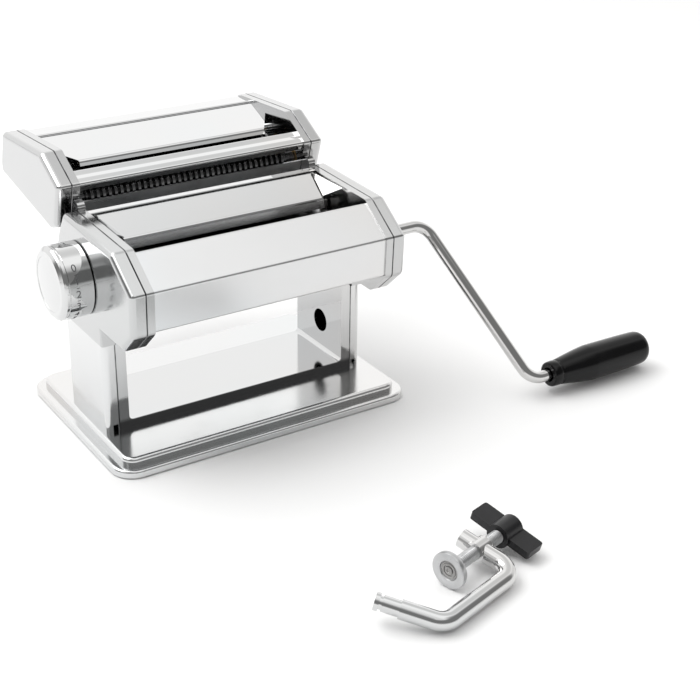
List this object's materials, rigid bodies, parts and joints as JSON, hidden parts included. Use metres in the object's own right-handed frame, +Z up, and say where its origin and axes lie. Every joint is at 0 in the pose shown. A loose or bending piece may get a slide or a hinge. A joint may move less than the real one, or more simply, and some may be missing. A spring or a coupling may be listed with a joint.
{
  "type": "pasta roller machine",
  "caption": "Hand-cranked pasta roller machine: a roller head on two legs, a dial for the roller gap, a lift-off cutter head at the back and a table clamp.",
  "frame": {"origin": "centre of the stand's outline on the table", "axes": "+X along the rollers towards the crank, +Y to the back where the cutter head hangs, +Z up"},
  "size_m": [0.3882, 0.4128, 0.17],
  "materials": {
    "chrome_sheet": "polished",
    "chrome_casting": "satin polished",
    "chrome_rod": "polished",
    "ground_steel": "ground",
    "gear_steel": "plain",
    "spring_steel": "plain",
    "dial_chrome": "polished",
    "dial_cap_chrome": "satin",
    "bronze": "plain",
    "black_grip": "gloss",
    "dark_plastic": "satin",
    "comb_steel": "ground",
    "rubber": "matt",
    "zinc": "plated"
  },
  "bodies": {
    "machine": {"base_plate": "chrome_sheet", "rubber_feet": "rubber", "base_bolts": "gear_steel", "inner_frame": "chrome_sheet", "left_leg_shell": "chrome_sheet", "right_leg_shell": "chrome_sheet", "left_end_plate": "chrome_casting", "right_end_plate": "chrome_casting", "left_side_cover": "chrome_casting", "right_side_cover": "chrome_casting", "cutter_rails": "chrome_rod", "front_panel": "chrome_sheet", "back_panel": "chrome_sheet", "hopper_plate": "chrome_sheet", "hopper_wings": "chrome_sheet", "tie_rods": "chrome_rod", "tie_rod_nuts": "chrome_rod", "front_scraper": "spring_steel", "rear_scraper": "spring_steel", "drive_bushes": "bronze"},
    "drive": {"drive_roller": "ground_steel", "drive_shaft": "ground_steel", "drive_gear": "gear_steel"},
    "crank": {"crank_rod": "chrome_rod", "grip_clip": "spring_steel"},
    "grip": {"crank_grip": "black_grip", "grip_plug": "black_grip"},
    "adjuster": {"adjusting_rod": "ground_steel", "eccentric_bushes": "gear_steel", "dial_screw": "spring_steel"},
    "dial": {"dial_knob": "dial_chrome", "dial_cap": "dial_cap_chrome", "dial_index_pin": "spring_steel", "dial_spring": "spring_steel"},
    "floating_rings": {"floating_bushes": "bronze"},
    "adjustable": {"adjustable_roller": "ground_steel", "adjustable_gear": "gear_steel"},
    "cutter_head": {"cutter_left_plate": "chrome_casting", "cutter_right_plate": "chrome_casting", "cutter_left_cover": "chrome_casting", "cutter_right_cover": "chrome_casting", "cutter_front_strip": "chrome_sheet", "cutter_ramp": "chrome_sheet", "cutter_rear_plate": "chrome_sheet", "cutter_tie_rods": "chrome_rod", "cutter_bushes": "bronze", "narrow_combs": "comb_steel", "wide_combs": "comb_steel"},
    "narrow_front": {"narrow_front_cutter": "ground_steel", "narrow_front_gear": "gear_steel"},
    "narrow_rear": {"narrow_rear_cutter": "ground_steel", "narrow_rear_gear": "gear_steel"},
    "wide_front": {"wide_front_cutter": "ground_steel", "wide_front_gear": "gear_steel"},
    "wide_rear": {"wide_rear_cutter": "ground_steel", "wide_rear_gear": "gear_steel"},
    "clamp": {"clamp_bow": "chrome_rod"},
    "clamp_foot": {"clamp_pad": "zinc"},
    "clamp_turner": {"clamp_screw": "zinc", "clamp_wing": "dark_plastic"}
  },
  "joints": [
    {"name": "drive_turn", "type": "hinge", "parent": "machine", "child": "drive", "pos_m": [0, -0.0399, 0.107], "axis": [1, 0, 0], "continuous": true},
    {"name": "crank_pull_out", "type": "slide", "parent": "drive", "child": "crank", "axis": [1, 0, 0], "range_m": [0, 0.03]},
    {"name": "grip_spin", "type": "hinge", "parent": "crank", "child": "grip", "pos_m": [0.23, -0.11549, 0.0138], "axis": [1, 0, 0], "continuous": true},
    {"name": "dial_turn", "type": "hinge", "parent": "machine", "child": "adjuster", "pos_m": [-0.1, -0.0053, 0.107], "axis": [1, 0, 0], "range_deg": [0, 180]},
    {"name": "dial_pull", "type": "slide", "parent": "adjuster", "child": "dial", "axis": [-1, 0, 0], "range_m": [0, 0.004], "stiffness_N_per_m": 500, "deforming": ["dial_spring"]},
    {"name": "ring_turn", "type": "hinge", "parent": "adjuster", "child": "floating_rings", "pos_m": [0, -0.0042, 0.107], "axis": [1, 0, 0], "range_deg": [-180, 0]},
    {"name": "adjustable_spin", "type": "hinge", "parent": "floating_rings", "child": "adjustable", "pos_m": [0, -0.0042, 0.107], "axis": [1, 0, 0], "continuous": true},
    {"name": "cutter_lift_off", "type": "slide", "parent": "machine", "child": "cutter_head", "axis": [0, -0.2991, 0.9542], "range_m": [0, 0.05]},
    {"name": "narrow_turn", "type": "hinge", "parent": "cutter_head", "child": "narrow_rear", "pos_m": [0, 0.05704, 0.14413], "axis": [1, 0, 0], "continuous": true},
    {"name": "narrow_partner", "type": "hinge", "parent": "cutter_head", "child": "narrow_front", "pos_m": [0, 0.03831, 0.14089], "axis": [1, 0, 0], "continuous": true},
    {"name": "wide_turn", "type": "hinge", "parent": "cutter_head", "child": "wide_rear", "pos_m": [0, 0.10089, 0.1517], "axis": [1, 0, 0], "continuous": true},
    {"name": "wide_partner", "type": "hinge", "parent": "cutter_head", "child": "wide_front", "pos_m": [0, 0.08217, 0.14847], "axis": [1, 0, 0], "continuous": true},
    {"name": "clamp_pick_up", "type": "slide", "parent": "machine", "child": "clamp", "axis": [0, 0, 1], "range_m": [0, 0.1]},
    {"name": "pad_travel", "type": "slide", "parent": "clamp", "child": "clamp_foot", "axis": [-0.9622, -0.2723, 0], "range_m": [-0.0115, 0.00625]},
    {"name": "screw_turn", "type": "hinge", "parent": "clamp_foot", "child": "clamp_turner", "pos_m": [0.02459, -0.25167, 0.011], "axis": [-0.9622, -0.2723, 0], "range_deg": [-3345.12, 1836]}
  ],
  "couplings": [
    {"joint": "ring_turn", "follows": "dial_turn", "ratio": -1},
    {"joint": "adjustable_spin", "follows": "drive_turn", "ratio": -1},
    {"joint": "narrow_partner", "follows": "narrow_turn", "ratio": -1},
    {"joint": "wide_partner", "follows": "wide_turn", "ratio": -1},
    {"joint": "screw_turn", "follows": "pad_travel", "rad_per_m": 5026.5}
  ]
}
